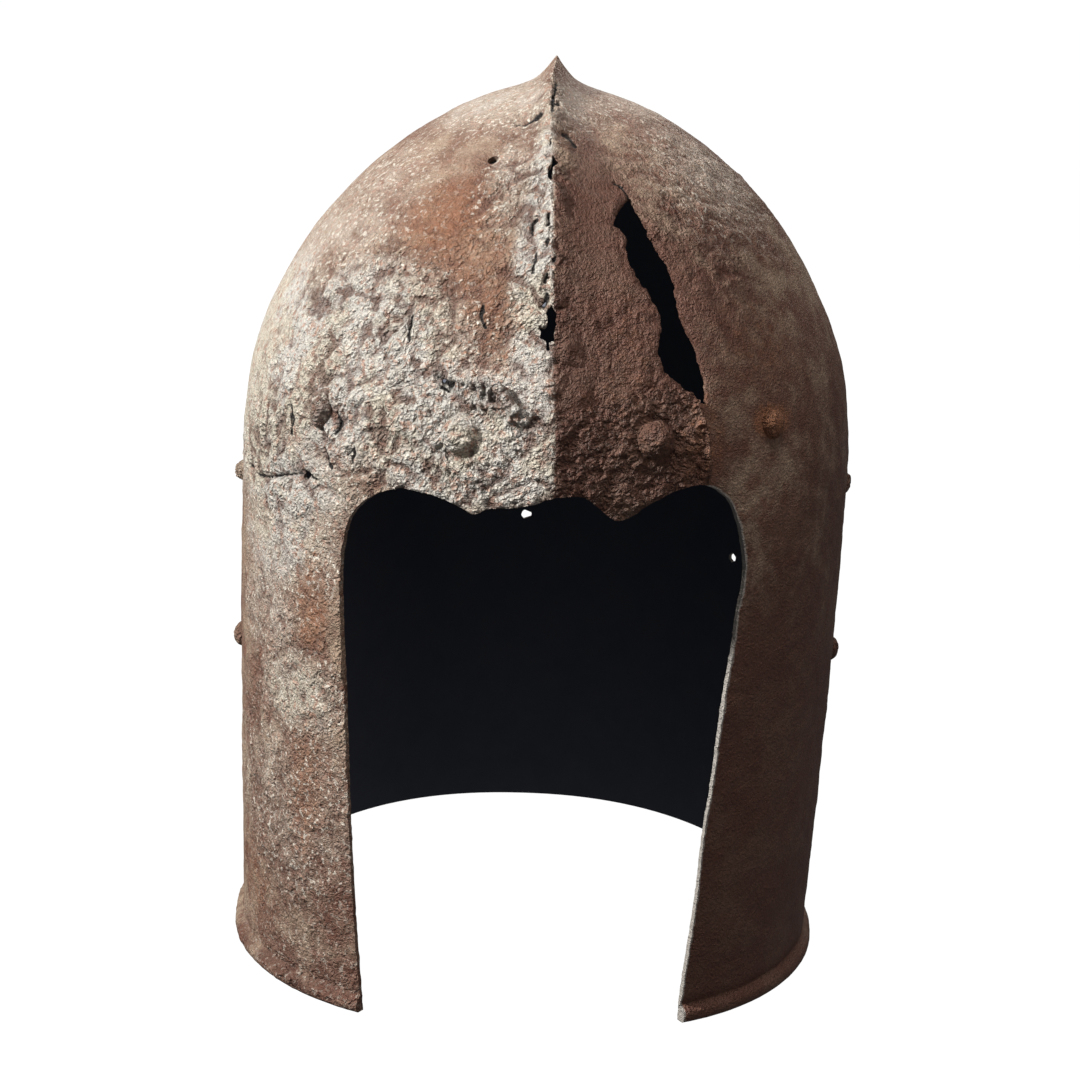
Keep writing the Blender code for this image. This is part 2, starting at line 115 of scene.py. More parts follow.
# Each level of the skull, from the rim to the crown:
# height of DOME_HEIGHT, half width of HALF_WIDTH, front of FRONT_DEPTH, back of BACK_DEPTH,
# how far its middle is set back, of CROWN_SETBACK, and how far it strays right, of SWAY
LEVELS = (
    (0.000, 0.975, 0.905, 1.052, 0.00, -1.00),
    (0.025, 0.969, 0.912, 1.044, 0.00, -0.95),
    (0.085, 0.973, 0.928, 1.033, 0.00, -0.83),
    (0.185, 0.982, 0.953, 1.015, 0.00, -0.63),
    (0.290, 0.990, 0.975, 1.004, 0.00, -0.42),
    (0.390, 0.996, 0.992, 1.000, 0.00, -0.24),
    (0.480, 0.999, 1.000, 1.000, 0.00, -0.07),
    (0.540, 1.000, 1.000, 0.998, 0.00, 0.00),
    (0.590, 1.000, 0.996, 0.994, 0.00, 0.07),
    (0.640, 0.992, 0.985, 0.983, 0.05, 0.12),
    (0.690, 0.971, 0.963, 0.961, 0.12, 0.13),
    (0.735, 0.931, 0.926, 0.928, 0.20, 0.14),
    (0.780, 0.873, 0.873, 0.879, 0.30, 0.15),
    (0.825, 0.798, 0.804, 0.811, 0.42, 0.20),
    (0.865, 0.712, 0.724, 0.730, 0.54, 0.30),
    (0.900, 0.617, 0.633, 0.640, 0.66, 0.42),
    (0.930, 0.514, 0.533, 0.540, 0.78, 0.45),
    (0.955, 0.409, 0.427, 0.433, 0.88, 0.35),
    (0.974, 0.309, 0.326, 0.331, 0.94, 0.24),
    (0.987, 0.216, 0.230, 0.233, 0.98, 0.14),
    (0.995, 0.131, 0.140, 0.143, 1.00, 0.06),
    (0.9985, 0.067, 0.073, 0.074, 1.00, 0.02),
    (0.9998, 0.027, 0.030, 0.030, 1.00, 0.00),
    (1.0000, 0.000, 0.000, 0.000, 1.00, 0.00),
)

# How the keel changes with height: height of DOME_HEIGHT, ridge at the front and
# at the back of KEEL_HEIGHT, width of KEEL_SPREAD, and how far the ridge leans
# right of the skull's middle, of SWAY
KEEL_LEVELS = (
    (0.20, 0.60, 0.00, 1.00, 0.00),
    (0.45, 0.60, 0.16, 1.00, 0.00),
    (0.60, 0.64, 0.36, 1.00, -0.10),
    (0.80, 0.72, 0.60, 0.95, -0.80),
    (0.92, 0.80, 0.76, 0.72, -1.50),
    (0.98, 1.00, 1.00, 0.48, -1.10),
    (1.00, 1.00, 1.00, 0.34, 0.00),
)

# The rim's cross section: height of RIM_HEIGHT, reach of RIM_PROUD
RIM_SECTION = (
    (0.00, 0.55),
    (0.14, 0.90),
    (0.30, 1.05),
    (0.55, 1.05),
    (0.78, 0.85),
    (0.95, 0.20),
    (1.12, -0.22),
    (1.40, -0.12),
    (1.80, 0.00),
)

# The opening's upper edge, from the left side to the right:
# across as a share of OPENING_HALF, drop below OPENING_TOP as a share of CUSP_DROP
OPENING_EDGE = (
    (-0.985, 5.60),
    (-0.992, 4.60),
    (-0.993, 3.20),
    (-0.965, 1.95),
    (-0.91, 1.25),
    (-0.82, 0.72),
    (-0.71, 0.45),
    (-0.60, 0.45),
    (-0.50, 0.56),
    (-0.40, 0.82),
    (-0.335, 1.00),
    (-0.28, 0.80),
    (-0.17, 0.70),
    (-0.07, 0.54),
    (0.01, 0.30),
    (0.10, 0.25),
    (0.17, 0.30),
    (0.25, 0.72),
    (0.315, 1.04),
    (0.38, 0.97),
    (0.46, 0.62),
    (0.55, 0.28),
    (0.65, 0.05),
    (0.72, 0.00),
    (0.80, 0.17),
    (0.88, 0.60),
    (0.93, 1.30),
    (0.965, 2.20),
    (0.985, 3.20),
    (0.957, 4.60),
    (0.940, 5.90),
)

# The opening's sides below that: height of OPENING_TOP, across of OPENING_HALF
LEFT_SIDE = ((0.60, -0.966), (0.42, -0.943), (0.20, -0.905), (0.00, -0.858))
RIGHT_SIDE = (
    (0.60, 0.907),
    (0.45, 0.873),
    (0.36, 0.845),
    (0.22, 0.820),
    (0.06, 0.775),
    (0.00, 0.770),
)

# The gash's two torn edges: down along GASH_LENGTH, out across GASH_HALF
GASH_LEFT = (
    (0.02, -0.45),
    (0.06, -0.85),
    (0.09, -1.03),
    (0.13, -0.75),
    (0.17, -0.70),
    (0.21, -0.88),
    (0.28, -0.90),
    (0.36, -0.77),
    (0.43, -0.58),
    (0.48, -0.59),
    (0.54, -0.45),
    (0.62, -0.71),
    (0.67, -0.94),
    (0.77, -1.03),
    (0.84, -0.75),
    (0.92, -0.39),
)
GASH_RIGHT = (
    (0.91, 0.36),
    (0.77, 0.44),
    (0.70, 0.42),
    (0.62, 0.28),
    (0.51, 0.39),
    (0.43, 0.51),
    (0.36, 0.50),
    (0.30, 0.41),
    (0.22, 0.26),
    (0.13, 0.20),
    (0.05, 0.06),
)

# The brow plate's torn outline above the opening: across of PLATE_HALF, and
# height above OPENING_TOP as a share of PLATE_RISE
PLATE_EDGE = (
    (-0.93, -0.60),
    (-0.91, 0.00),
    (-0.88, 0.40),
    (-0.86, 0.80),
    (-0.77, 0.94),
    (-0.70, 0.90),
    (-0.66, 0.84),
    (-0.62, 0.93),
    (-0.48, 0.99),
    (-0.40, 1.01),
    (-0.33, 0.97),
    (-0.27, 0.88),
    (-0.22, 0.78),
    (-0.17, 0.73),
    (-0.10, 0.76),
    (0.01, 0.74),
    (0.19, 0.73),
    (0.32, 0.80),
    (0.59, 0.90),
    (0.78, 0.98),
    (0.93, 0.88),
    (1.00, 0.64),
    (1.05, 0.34),
    (1.07, 0.00),
    (1.07, -0.60),
)

# The ragged hole and the slot beside the ridge: shares of their widths and lengths
KEEL_HOLE_SHAPE = (
    (-0.10, 0.48),
    (-0.27, 0.39),
    (-0.36, 0.26),
    (-0.22, 0.17),
    (-0.36, 0.01),
    (-0.75, 0.00),
    (-0.60, -0.05),
    (-0.66, -0.17),
    (-0.36, -0.25),
    (-0.24, -0.48),
    (-0.12, -0.25),
    (0.10, -0.21),
    (0.09, 0.03),
    (0.24, 0.08),
    (0.16, 0.16),
    (0.12, 0.32),
)
KEEL_SLOT_SHAPE = (
    (-0.31, 0.50),
    (-0.40, 0.30),
    (-0.41, 0.03),
    (-0.66, -0.08),
    (-0.78, -0.45),
    (-0.44, -0.50),
    (-0.19, -0.15),
    (0.11, -0.01),
    (0.19, 0.16),
)

# Small holes through the skull: bearing in degrees, height of TALL, radius
HOLES = (
    (-20.5, 0.8915, 1.9 * MM),
    (-46.5, 0.5718, 1.7 * MM),
    (-178.7, 0.3945, 2.1 * MM),
    (131.5, 0.3740, 2.1 * MM),
    (151.0, 0.3905, 1.1 * MM),
)

# Cracks and crevices in the front, cut in and painted black as shade: width, depth, then the line
# that each follows, as shares of HALF_WIDTH to the right and of TALL upwards
CRACKS = (
    (0.55 * MM, 1.4 * MM, ((-0.130, 0.929), (-0.102, 0.931), (-0.082, 0.935), (-0.069, 0.938))),
    (0.80 * MM, 1.6 * MM, ((-0.069, 0.938), (-0.054, 0.943))),
    (0.45 * MM, 0.8 * MM, ((0.171, 0.876), (0.192, 0.873), (0.208, 0.867), (0.218, 0.862))),
    (0.70 * MM, 1.3 * MM, ((-0.972, 0.560), (-0.910, 0.553), (-0.868, 0.557))),
    (0.55 * MM, 1.1 * MM, ((-0.868, 0.557), (-0.817, 0.565), (-0.741, 0.575), (-0.695, 0.571))),
    (0.80 * MM, 1.4 * MM, ((-0.790, 0.638), (-0.783, 0.625), (-0.794, 0.610))),
    (0.60 * MM, 1.1 * MM, ((-0.640, 0.640), (-0.629, 0.630), (-0.646, 0.621))),
    (0.55 * MM, 1.0 * MM, ((-0.680, 0.605), (-0.668, 0.594), (-0.652, 0.585))),
    (0.55 * MM, 1.0 * MM, ((-0.602, 0.602), (-0.581, 0.611), (-0.583, 0.594))),
    (0.70 * MM, 1.0 * MM, ((-0.424, 0.744), (-0.431, 0.732), (-0.428, 0.720))),
    (0.80 * MM, 1.2 * MM, ((-0.214, 0.759), (-0.219, 0.749), (-0.209, 0.739))),
    (0.60 * MM, 0.9 * MM, ((-0.062, 0.842), (-0.076, 0.837), (-0.074, 0.828))),
    (0.60 * MM, 0.9 * MM, ((-0.062, 0.812), (-0.066, 0.803), (-0.073, 0.791))),
    (0.80 * MM, 0.8 * MM, ((0.010, 0.924), (0.030, 0.918), (0.052, 0.910))),
    (0.60 * MM, 1.2 * MM, ((-0.030, 0.844), (-0.028, 0.850))),
    (0.80 * MM, 1.3 * MM, ((-0.028, 0.841), (-0.030, 0.838))),
    (0.75 * MM, 1.3 * MM, ((-0.028, 0.825), (-0.031, 0.819))),
    (0.60 * MM, 1.0 * MM, ((-0.012, 0.807), (-0.012, 0.805))),
    (0.80 * MM, 1.2 * MM, ((-0.030, 0.793), (-0.037, 0.784))),
    (0.80 * MM, 1.2 * MM, ((-0.030, 0.774), (-0.038, 0.764))),
    (0.80 * MM, 1.0 * MM, ((-0.009, 0.971), (-0.012, 0.966))),
    (0.90 * MM, 1.2 * MM, ((-0.018, 0.962), (-0.021, 0.947))),
    (0.70 * MM, 0.8 * MM, ((-0.004, 0.955), (-0.002, 0.952))),
    (0.60 * MM, 0.8 * MM, ((-0.026, 0.917), (-0.025, 0.913))),
    (1.50 * MM, 2.0 * MM, ((-0.325, 0.686), (-0.300, 0.682))),
)

# Soft patches of the surface: bearing and height of TALL of the middle, half
# widths in degrees and of TALL, and strength
SCABBED = (
    (-32, 0.68, 27, 0.12, 1.00),
    (-56, 0.58, 18, 0.06, 0.85),
    (-5, 0.79, 7, 0.15, 0.90),
    (-12, 0.84, 10, 0.08, 0.70),
    (8, 0.71, 13, 0.09, 0.42),
    (30, 0.84, 20, 0.08, 0.45),
    (58, 0.86, 24, 0.07, 0.40),
    (-50, 0.30, 22, 0.25, 0.45),
    (-40, 0.00, 50, 0.03, 0.55),
    (50, 0.30, 45, 0.30, 0.10),
    (150, 0.55, 40, 0.25, 0.35),
    (-140, 0.40, 35, 0.22, 0.45),
)
PALE_PATCHES = (
    (-38, 0.69, 24, 0.09, 0.95),
    (-66, 0.82, 34, 0.10, 0.44),
    (-70, 0.66, 20, 0.12, 0.95),
    (-56, 0.56, 22, 0.05, 0.75),
    (-4, 0.80, 4, 0.17, 0.78),
    (-13, 0.63, 17, 0.058, 1.15),
    (-13, 0.87, 9, 0.05, 0.48),
    (-48, 0.34, 12, 0.05, 0.64),
    (-54, 0.50, 18, 0.06, 0.64),
    (-58, 0.42, 14, 0.06, 0.46),
    (-50, 0.22, 26, 0.13, 0.38),
    (-48, 0.04, 30, 0.06, 0.26),
    (52, 0.88, 28, 0.06, 0.46),
    (-40, 0.95, 70, 0.035, 0.52),
    (70, 0.95, 60, 0.030, 0.40),
    (-150, 0.70, 30, 0.15, 0.50),
    (140, 0.80, 35, 0.12, 0.40),
)
ORANGE_PATCHES = (
    (-26, 0.835, 13, 0.045, 0.62),
    (-16, 0.80, 8, 0.05, 0.50),
    (-12, 0.74, 7, 0.06, 0.48),
    (9, 0.70, 8, 0.10, 0.52),
    (24, 0.63, 6, 0.05, 0.50),
    (40.5, 0.646, 4, 0.012, 1.30),
    (-44, 0.44, 5, 0.07, 0.55),
    (-66, 0.10, 12, 0.08, 0.40),
    (-45, 0.24, 5, 0.10, 0.48),
    (40, 0.72, 14, 0.06, 0.34),
    (165, 0.50, 30, 0.20, 0.45),
    (-110, 0.45, 25, 0.18, 0.35),
)
DARK_PATCHES = (
    # Right of the ridge, away from the key light: darker rust, in part painted shade
    (7, 0.80, 8, 0.13, 0.90),
    (12, 0.73, 14, 0.13, 1.05),
    (16, 0.62, 16, 0.05, 0.90),
    (30, 0.78, 20, 0.10, 0.60),
    (50, 0.68, 24, 0.10, 0.50),
    # A painted shadow beside the brow plate's raised lip, and painted shade in the notch of its edge
    (-4, 0.680, 5.5, 0.012, 1.10),
    (-16, 0.684, 3, 0.006, 0.80),
    # Over the right cheek and side, away from the key light: darker, in part painted shade
    (52, 0.20, 45, 0.30, 0.90),
    (70, 0.55, 28, 0.20, 0.60),
    (-54, 0.13, 34, 0.11, 0.48),
    (-45, 0.02, 34, 0.05, 0.50),
    (-42.9, 0.643, 2.2, 0.020, 0.90),
    (-170, 0.15, 60, 0.15, 0.45),
)

# Rivets: name, bearing in degrees, height of TALL, radius and rise of the head, how far
# it is stretched upright, and how much it has wasted
BROW_RIVET_LEVEL = OPENING_TOP + 13.5 * MM
TEMPLE_LEVEL = OPENING_TOP + 16.1 * MM
SIDE_LEVEL = OPENING_TOP - 16.0 * MM
STRAP_LEVEL = 104.5 * MM
RIVETS = (
    ("brow_rivet_left", -14.09, BROW_RIVET_LEVEL, 5.8 * MM, 3.5 * MM, 1.0, 0.8),
    ("brow_rivet_right", 15.50, BROW_RIVET_LEVEL, 5.8 * MM, 3.7 * MM, 1.0, 0.8),
    ("temple_rivet_left", -42.9, TEMPLE_LEVEL, 3.6 * MM, 4.2 * MM, 1.8, 0.7),
    ("temple_rivet_right", 40.5, TEMPLE_LEVEL, 4.8 * MM, 3.0 * MM, 1.0, 0.45),
    ("side_rivet_left", -82.0, SIDE_LEVEL, 3.2 * MM, 2.3 * MM, 1.1, 1.7),
    ("side_rivet_right", 86.0, SIDE_LEVEL, 4.0 * MM, 2.1 * MM, 1.0, 0.7),
    ("strap_rivet_left", -83.5, STRAP_LEVEL, 4.2 * MM, 2.3 * MM, 1.0, 0.7),
    ("strap_rivet_right", 84.5, STRAP_LEVEL, 4.2 * MM, 2.3 * MM, 1.0, 0.6),
)
SHANK = 2.1 * MM  # radius
TAIL = 3.6 * MM  # radius of the clenched end inside
TAIL_HEIGHT = 1.2 * MM
SEAT = 0.6 * MM  # gap between the tail and the curved wall

# Raised lips of the brow plate, and the clefts under them, which are painted black as shade; both
# written as CRACKS is
FLAPS = (
    (2.6 * MM, 3.4 * MM, ((-0.215, 0.684), (-0.185, 0.685), (-0.155, 0.678), (-0.118, 0.663))),
    (1.7 * MM, 2.2 * MM, ((-0.395, 0.688), (-0.345, 0.690), (-0.310, 0.688), (-0.270, 0.690))),
    (1.4 * MM, 1.4 * MM, ((0.410, 0.670), (0.440, 0.640), (0.446, 0.600))),
    (2.0 * MM, 1.4 * MM, ((-0.350, 0.612), (-0.260, 0.600), (-0.200, 0.590))),
    (1.8 * MM, 1.6 * MM, ((-0.390, 0.660), (-0.370, 0.635), (-0.340, 0.620))),
)
PLATE_CRACKS = (
    (1.0 * MM, 1.8 * MM, ((-0.325, 0.681), (-0.300, 0.676))),
)

# The skull's columns: from one bearing to another in steps of so many degrees
COLUMNS = (
    (-180, -100, 1.5),
    (-100, -78, 0.6),
    (-78, 32, 0.33),
    (32, 100, 0.5),
    (100, 180, 1.5),
)
RIDGE_STEP = 0.12  # degrees to the columns next to the ridge

# Colours, as red, green and blue
BLACK = (0.008, 0.006, 0.006)
DARK = (0.040, 0.024, 0.018)
UMBER = (0.088, 0.037, 0.026)
BROWN = (0.160, 0.090, 0.064)
RUST = (0.185, 0.070, 0.043)
TAN = (0.280, 0.205, 0.150)
ORANGE = (0.215, 0.096, 0.051)
CREAM = (0.460, 0.425, 0.355)
CHALK = (0.465, 0.455, 0.430)
PALE = (0.550, 0.510, 0.450)
PINK = (0.360, 0.240, 0.190)
# a painted highlight for torn edges that face the key light
LIT_EDGE = (0.300, 0.280, 0.260)
# the inner face's near-black, in part painted shade
INSIDE_SHADE = (0.050, 0.060, 0.092)
SLATE = (0.085, 0.090, 0.112)

# Lights: name, azimuth right of the face and elevation in degrees, distance, width of the
# lamp, watts and colour
LIGHTS = (
    ("key", -68, 37, 2.2, 0.22, 98, (1.0, 0.985, 0.945)),
    ("top", 25, 76, 2.0, 0.70, 20, (1.0, 0.930, 0.860)),
    ("fill", 40, 20, 2.2, 1.20, 7, (1.0, 0.860, 0.800)),
    ("back", 172, 36, 2.2, 1.40, 13, (1.0, 0.930, 0.860)),
)
WHITE = 1.02  # of the floor and the surround, just enough to show as plain white
AMBIENT = 0.115  # the share of the surround that lights the helmet


def flowing(knots, values, at):
    """The columns of a table, read from a smooth curve through its rows."""
    slopes = np.gradient(values, knots, axis=0)
    low = np.clip(np.searchsorted(knots, at) - 1, 0, len(knots) - 2)
    step = (knots[low + 1] - knots[low])[:, None]
    part = np.clip((at[:, None] - knots[low][:, None]) / step, 0, 1)
    rest = 1 - part
    return (
        values[low] * (1 + 2 * part) * rest**2
        + values[low + 1] * (1 + 2 * rest) * part**2
        + slopes[low] * step * part * rest**2
        - slopes[low + 1] * step * rest * part**2
    )


def side_profile():
    """How far each level lies up the skull's side, as the surface runs."""
    rows = np.array(LEVELS)
    steps = np.hypot(np.diff(rows[:, 0]) * DOME_HEIGHT, np.diff(rows[:, 1]) * HALF_WIDTH)
    return np.concatenate(([0.0], np.cumsum(steps))), rows


RUNS, ROWS = side_profile()
CROWN_RUN = RUNS[-1]


def run_at(level):
    """How far up the side a height lies."""
    fine = np.linspace(0, CROWN_RUN, 2000)
    return np.interp(level / DOME_HEIGHT, flowing(RUNS, ROWS, fine)[:, 0], fine)


def rounded(run, bearing):
    """Points of the plain skull, without its keel, at bearings in degrees from the face."""
    level, width, front, back, setback, sway = flowing(RUNS, ROWS, np.clip(run, 0, CROWN_RUN)).T
    turn = np.radians(bearing)
    across = np.abs(np.sin(turn)) ** (2 / PLAN_POWER) * np.sign(np.sin(turn))
    along = np.abs(np.cos(turn)) ** (2 / PLAN_POWER)
    depth = np.where(np.cos(turn) > 0, -along * front * FRONT_DEPTH, along * back * BACK_DEPTH)
    x = across * width * HALF_WIDTH + sway * SWAY
    y = depth + setback * CROWN_SETBACK + EARS
    return np.stack((x, y, level * DOME_HEIGHT), axis=-1)


def facing(run, bearing):
    """The directions straight out of the plain skull."""
    turn = 1.0  # degrees
    rise = 1.5 * MM
    low = np.clip(run - rise, 0, CROWN_RUN - 2 * rise)
    around = rounded(run, bearing + turn) - rounded(run, bearing - turn)
    upward = rounded(low + 2 * rise, bearing) - rounded(low, bearing)
    out = np.cross(around, upward)
    return out / np.maximum(np.linalg.norm(out, axis=1, keepdims=True), 1e-12)


def keel_at(run):
    """The keel's table and the skull's half width and sway, at each place up its side."""
    level, width, _, _, _, sway = flowing(RUNS, ROWS, np.clip(run, 0, CROWN_RUN)).T
    table = np.array(KEEL_LEVELS).T
    rows = [np.interp(level, table[0], column) for column in table[1:]]
    return *rows, width * HALF_WIDTH, sway


def keel(run, point, bearing):
    """How far the keel lifts the skull at each point, and how near its ridge that is."""
    front, back, spread, lean, _, sway = keel_at(run)
    height = np.where(np.abs(bearing) <= 90, front, back)
    away = np.abs(point[:, 0] - (sway + lean) * SWAY) / (spread * KEEL_SPREAD)
    near = np.exp(-(away**KEEL_FALL))
    return height * KEEL_HEIGHT * near, near


def leaned(run, bearing):
    """Bearings pushed aside near the middle, so that the middle one follows the ridge."""
    lean, width = keel_at(run)[3:5]
    share = np.minimum(np.abs(lean) * SWAY / np.maximum(width, 8 * MM), 0.2)
    push = np.degrees(np.arcsin(share ** (PLAN_POWER / 2))) * np.sign(lean)
    return bearing + push * np.exp(-((bearing / 14) ** 2))


def on_skull(run, bearing):
    """Points of the skull's outer face, keel and all, and the way that face looks."""
    point = rounded(run, bearing)
    away = facing(run, bearing)
    return point + away * keel(run, point, bearing)[0][:, None], away


def spot(bearing, level):
    """One point of the skull and its direction out, as vectors."""
    point, away = on_skull(np.array([run_at(level)]), np.array([float(bearing)]))
    return Vector(point[0]), Vector(away[0])


def bearing_of(across, level):
    """The bearing of a point of the front that lies this far to one side."""
    row = flowing(RUNS, ROWS, np.array([run_at(level)]))[0]
    off = across - row[5] * SWAY
    share = abs(off) / (row[1] * HALF_WIDTH)
    return math.copysign(math.degrees(math.asin(share ** (PLAN_POWER / 2))), off)


def grain(points, size, octaves=3, fade=1.0):
    """Fractal noise between about -1 and 1, with features of this size."""
    return np.array([noise.fractal(p, fade, 2.0, octaves) for p in (points / size).tolist()])


def billows(points, size, octaves=3):
    """Rounded lumps of this size, with sharp creases between them: 0 in a crease."""
    return np.array([noise.turbulence(p, octaves, True) for p in (points / size).tolist()])


def patches(table, point, bearing):
    """How strongly a table's soft patches cover each point."""
    total = np.zeros(len(point))
    for turn, level, half_turn, half_level, strength in table:
        away = (bearing - turn + 180) % 360 - 180
        reach = (away / half_turn) ** 2 + ((point[:, 2] / TALL - level) / half_level) ** 2
        total = np.maximum(total, strength * np.exp(-(reach**1.5) / 2))
    return total


def from_line(x, z, line):
    """How far each point lies from a line of several stretches."""
    nearest = np.full(x.shape, np.inf)
    for (ax, az), (bx, bz) in zip(line, line[1:]):
        along, rise = bx - ax, bz - az
        part = np.clip(((x - ax) * along + (z - az) * rise) / (along**2 + rise**2), 0, 1)
        nearest = np.minimum(nearest, np.hypot(x - ax - part * along, z - az - part * rise))
    return nearest


def outside(x, z, outline):
    """How far each point lies outside an outline, and negative inside it."""
    inside = np.zeros(x.shape, bool)
    closed = outline + outline[:1]
    for (ax, az), (bx, bz) in zip(closed, closed[1:]):
        if az != bz:
            inside ^= ((az > z) != (bz > z)) & (x < (bx - ax) * (z - az) / (bz - az) + ax)
    nearest = from_line(x, z, closed)
    return np.where(inside, -nearest, nearest)


def drawn(table, point, bearing):
    """How deep a table's lines are at each point of the front, and how much they show."""
    depth = np.zeros(len(point))
    shown = np.zeros(len(point))
    front = np.abs(bearing) < 90
    x, z = point[front, 0], point[front, 2]
    ragged = 1 + 0.8 * grain(point[front], 1.8 * MM, 2)
    for width, deep, line in table:
        knots = [(a * HALF_WIDTH, b * TALL) for a, b in line]
        here = np.exp(-((from_line(x, z, knots) * ragged / width) ** 2))
        depth[front] = np.maximum(depth[front], deep * here)
        shown[front] = np.maximum(shown[front], here)
    return depth, shown


def smoothed(outline, pieces=4):
    """The outline with its corners rounded, through the same points."""
    knots = np.arange(len(outline), dtype=float)
    fine = np.linspace(0, len(outline) - 1, (len(outline) - 1) * pieces + 1)
    return [tuple(p) for p in flowing(knots, np.array(outline), fine)]


def opening_outline():
    edge = [(a * OPENING_HALF, OPENING_TOP - drop * CUSP_DROP) for a, drop in OPENING_EDGE]
    left = [(a * OPENING_HALF, share * OPENING_TOP) for share, a in LEFT_SIDE]
    right = [(a * OPENING_HALF, share * OPENING_TOP) for share, a in RIGHT_SIDE]
    foot = -TALL
    outline = smoothed(left[::-1] + edge + right)
    return [(outline[0][0], foot)] + outline + [(outline[-1][0], foot)]


def gash_outline():
    down = Vector((math.sin(GASH_LEAN), -math.cos(GASH_LEAN)))
    out = Vector((math.cos(GASH_LEAN), math.sin(GASH_LEAN)))
    start = Vector(GASH_FOOT) - down * GASH_LENGTH
    places = ((0.0, 0.0), *GASH_LEFT, (1.0, 0.0), *GASH_RIGHT, (0.0, 0.0))
    torn = [start + down * (a * GASH_LENGTH) + out * (b * GASH_HALF) for a, b in places]
    return smoothed([tuple(place) for place in torn])[:-1]


def plate_outline():
    return [(a * PLATE_HALF, OPENING_TOP + b * PLATE_RISE) for a, b in PLATE_EDGE]


def ragged_outline(shape, rise, width, length):
    """A ragged hole whose middle lies this far above the eye arches."""
    return [(a * width, OPENING_TOP + rise + b * length) for a, b in shape]


OPENING = opening_outline()
GASH = gash_outline()
KEEL_HOLE = ragged_outline(KEEL_HOLE_SHAPE, KEEL_HOLE_RISE, KEEL_HOLE_WIDTH, KEEL_HOLE_LENGTH)
KEEL_SLOT = ragged_outline(KEEL_SLOT_SHAPE, KEEL_SLOT_RISE, KEEL_SLOT_WIDTH, KEEL_SLOT_LENGTH)
PLATE = plate_outline()


def skull_iron(run, bearing):
    """How far each point of the skull lies from the nearest edge, and negative in a hole."""
    point = on_skull(run, bearing)[0]
    left = np.full(len(point), TALL)
    front = np.abs(bearing) < 88
    x, z = point[front, 0] - FACE_SHIFT, point[front, 2]
    fray = grain(point[front], 2.4 * MM)
    ahead = outside(x, z, OPENING) + fray * OPENING_FRAY
    for outline in (GASH, KEEL_HOLE, KEEL_SLOT):
        ahead = np.minimum(ahead, outside(x, z, outline) + fray * GASH_FRAY)
    left[front] = ahead
    for turn, share, radius in HOLES:
        middle = np.array(spot(turn, share * TALL)[0])
        left = np.minimum(left, np.linalg.norm(point - middle, axis=1) - radius)
    return left


def plate_iron(run, bearing):
    """How far each point of the brow plate lies from its nearest edge, and negative past it."""
    point = on_skull(run, bearing)[0]
    x, z = point[:, 0] - FACE_SHIFT, point[:, 2]
    fray = grain(point, 2.4 * MM)
    left = -outside(x, z, PLATE) + fray * PLATE_FRAY
    left = np.minimum(left, outside(x, z, OPENING) + fray * OPENING_FRAY)
    return np.minimum(left, outside(x, z, GASH) + fray * GASH_FRAY)


def slide_to_edge(run, bearing, iron):
    """Slides points along the sheet onto the line of its torn edge."""
    step = 0.1 * MM
    most = 0.7 * MM
    for _ in range(3):
        here = iron(run, bearing)
        up = (iron(run + step, bearing) - here) / step
        along = (iron(run, bearing + step / DEGREE_SPAN) - here) / step
        up = np.where(run > 0, up, 0.0)
        pull = np.clip(here / np.maximum(up**2 + along**2, 0.3), -most, most)
        run = np.maximum(run - pull * up, 0.0)
        bearing = bearing - pull * along / DEGREE_SPAN
    return run, bearing


def quads(number):
    """The corners of each cell in a grid of numbered points."""
    corners = (number[:-1, :-1], number[:-1, 1:], number[1:, 1:], number[1:, :-1])
    return np.stack([corner.ravel() for corner in corners], axis=1)


def sheet_of(runs, bearings, closed, iron):
    """A grid on the skull with its holes cut: the points, the faces and the torn edges."""
    rows, columns = len(runs), len(bearings)
    run, bearing = np.repeat(runs, columns), np.tile(bearings, rows)
    bearing = leaned(run, bearing)
    number = np.arange(rows * columns).reshape(rows, columns)
    if closed:
        number = np.hstack((number, number[:, :1]))
    cells = quads(number)
    left = iron(run, bearing)
    cells = cells[left[cells].mean(axis=1) > 0]
    edges = np.concatenate([cells[:, [k, (k + 1) % 4]] for k in range(4)])
    key = np.sort(edges, axis=1)
    key = key[:, 0] * len(run) + key[:, 1]
    _, first, count = np.unique(key, return_index=True, return_counts=True)
    border = edges[first[count == 1]]
    loose = np.unique(border)
    if closed:
        top = loose >= (rows - 1) * columns
        low = (loose < columns) & (left[loose] > 1.5 * MM)
        loose = loose[~top & ~low]
    run[loose], bearing[loose] = slide_to_edge(run[loose], bearing[loose], iron)
    used = np.unique(cells)
    place = np.zeros(len(run), dtype=int)
    place[used] = np.arange(len(used))
    return run[used], bearing[used], place[cells], place[border]


def add(name, data):
    """Puts a new object with this data in the scene."""
    made = bpy.data.objects.new(name, data)
    bpy.context.scene.collection.objects.link(made)
    return made


def add_shell(name, outer, inner, cells, border):
    """A closed piece with an outer and an inner face, joined round every edge."""
    count = len(outer)
    points = np.vstack((outer, inner))
    sides = np.column_stack((border[:, 1], border[:, 0], border[:, 0] + count, border[:, 1] + count))
    faces = cells.tolist() + (cells[:, ::-1] + count).tolist() + sides.tolist()
    mesh = bpy.data.meshes.new(name)
    mesh.from_pydata(points.tolist(), [], faces)
    inside = np.zeros(len(faces), dtype=np.int32)
    inside[len(cells) : 2 * len(cells)] = 1
    mesh.polygons.foreach_set("material_index", inside)
    return add(name, mesh)


def thin(piece, most):
    """Thins a mesh to so many triangles, which stay densest where it is rough."""
    count = len(piece.data.loops) - 2 * len(piece.data.polygons)
    if count <= most:
        return
    step = piece.modifiers.new("thin", "DECIMATE")
    step.ratio = most / count
    graph = bpy.context.evaluated_depsgraph_get()
    mesh = bpy.data.meshes.new_from_object(piece.evaluated_get(graph), depsgraph=graph)
    piece.modifiers.clear()
    piece.data = mesh


